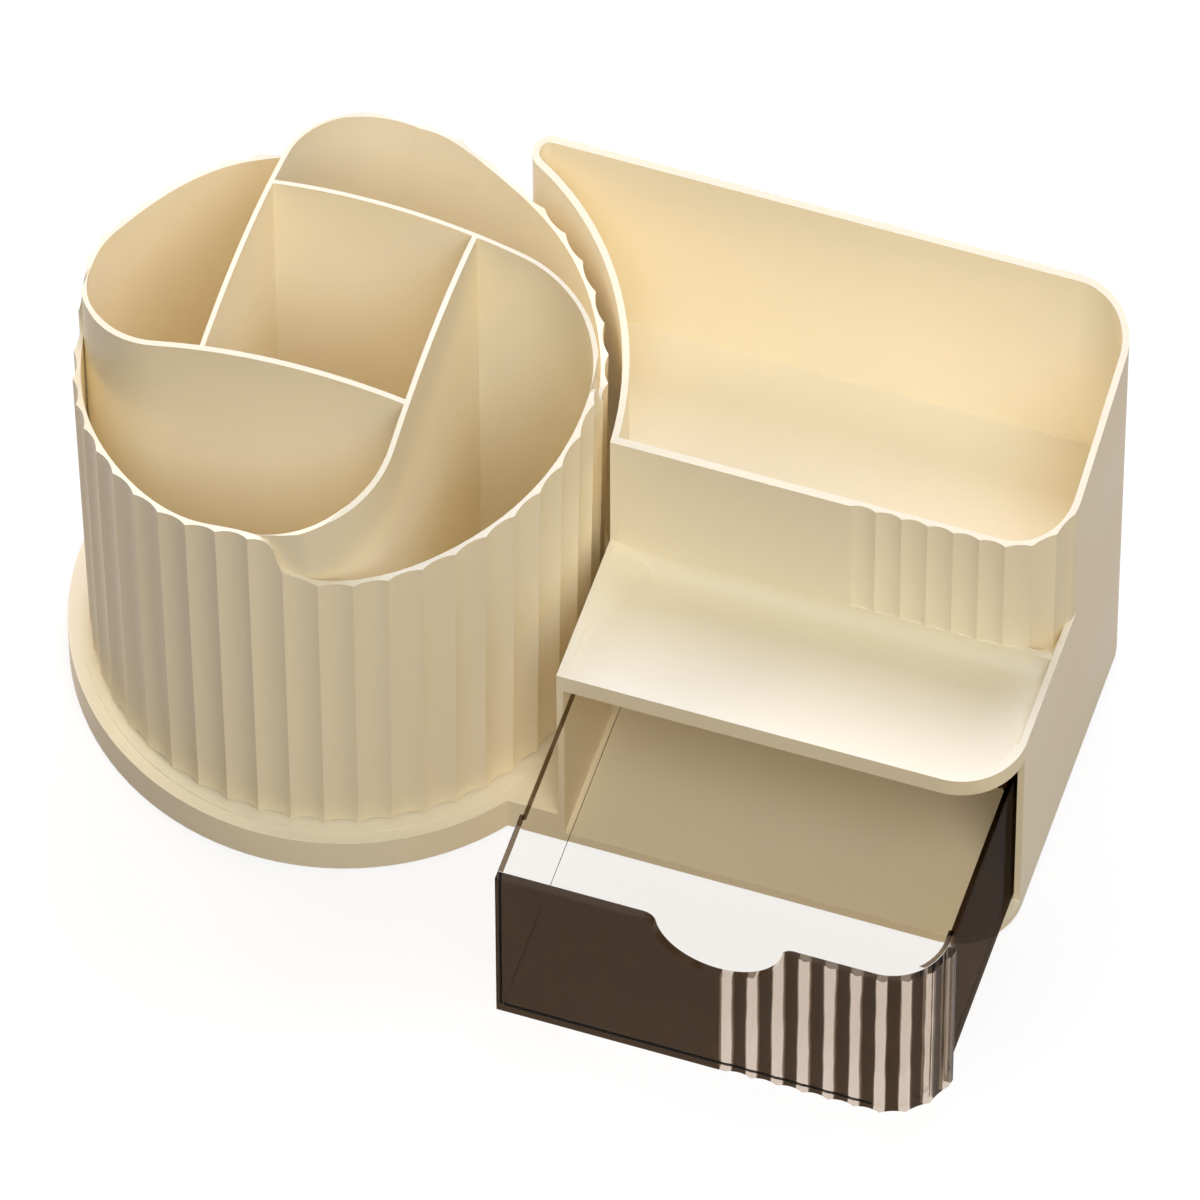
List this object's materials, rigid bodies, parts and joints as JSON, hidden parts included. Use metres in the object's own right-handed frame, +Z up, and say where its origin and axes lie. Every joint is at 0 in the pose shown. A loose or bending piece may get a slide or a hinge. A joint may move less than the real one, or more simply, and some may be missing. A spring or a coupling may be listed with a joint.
{
  "type": "makeup organizer",
  "caption": "Desktop makeup organizer: a turning fluted cup with curled dividers on a round platform, beside a box with a tall bin, an open shelf and a see-through drawer.",
  "frame": {"origin": "on the cup's turning axis, at the underside of the rubber pad in the middle of the platform, level with the table", "axes": "+Z up, +X from the cup to the box along the front, +Y to the back; the drawer opens along -Y"},
  "size_m": [0.2406, 0.1575, 0.1441],
  "materials": {
    "cream_plastic": "satin moulded",
    "smoky_clear_plastic": "polished, tinted brown, see-through",
    "clear_plastic": "polished, see-through",
    "grey_plastic": "matt moulded",
    "white_plastic": "matt moulded",
    "screw_steel": "plated",
    "ball_steel": "polished",
    "pad_rubber": "matt"
  },
  "bodies": {
    "stand": {"base_moulding": "cream_plastic", "body_shell": "cream_plastic", "shelf_deck": "cream_plastic", "shell_screws": "screw_steel", "foot_centre": "pad_rubber", "foot_disc_1": "pad_rubber", "foot_disc_2": "pad_rubber", "foot_disc_3": "pad_rubber", "foot_box_1": "pad_rubber", "foot_box_2": "pad_rubber", "foot_box_3": "pad_rubber", "foot_box_4": "pad_rubber"},
    "cup": {"cup_shell": "cream_plastic", "cup_divider": "cream_plastic", "turntable_plate": "grey_plastic", "turntable_screws": "screw_steel", "pivot_washer": "screw_steel", "pivot_screw": "screw_steel"},
    "ball_ring": {"ball_cage": "white_plastic", "bearing_balls": "ball_steel"},
    "drawer": {"drawer_front": "smoky_clear_plastic", "drawer_tray": "smoky_clear_plastic", "drawer_floor": "clear_plastic"}
  },
  "joints": [
    {"name": "cup_spin", "type": "hinge", "parent": "stand", "child": "cup", "pos_m": [0, 0, 0.0131], "axis": [0, 0, 1], "continuous": true},
    {"name": "ball_ring_spin", "type": "hinge", "parent": "stand", "child": "ball_ring", "pos_m": [0, 0, 0.0131], "axis": [0, 0, 1], "continuous": true},
    {"name": "drawer_slide", "type": "slide", "parent": "stand", "child": "drawer", "axis": [0, -1, 0], "range_m": [-0.052, 0.03]}
  ],
  "couplings": [
    {"joint": "ball_ring_spin", "follows": "cup_spin", "ratio": 0.5}
  ]
}
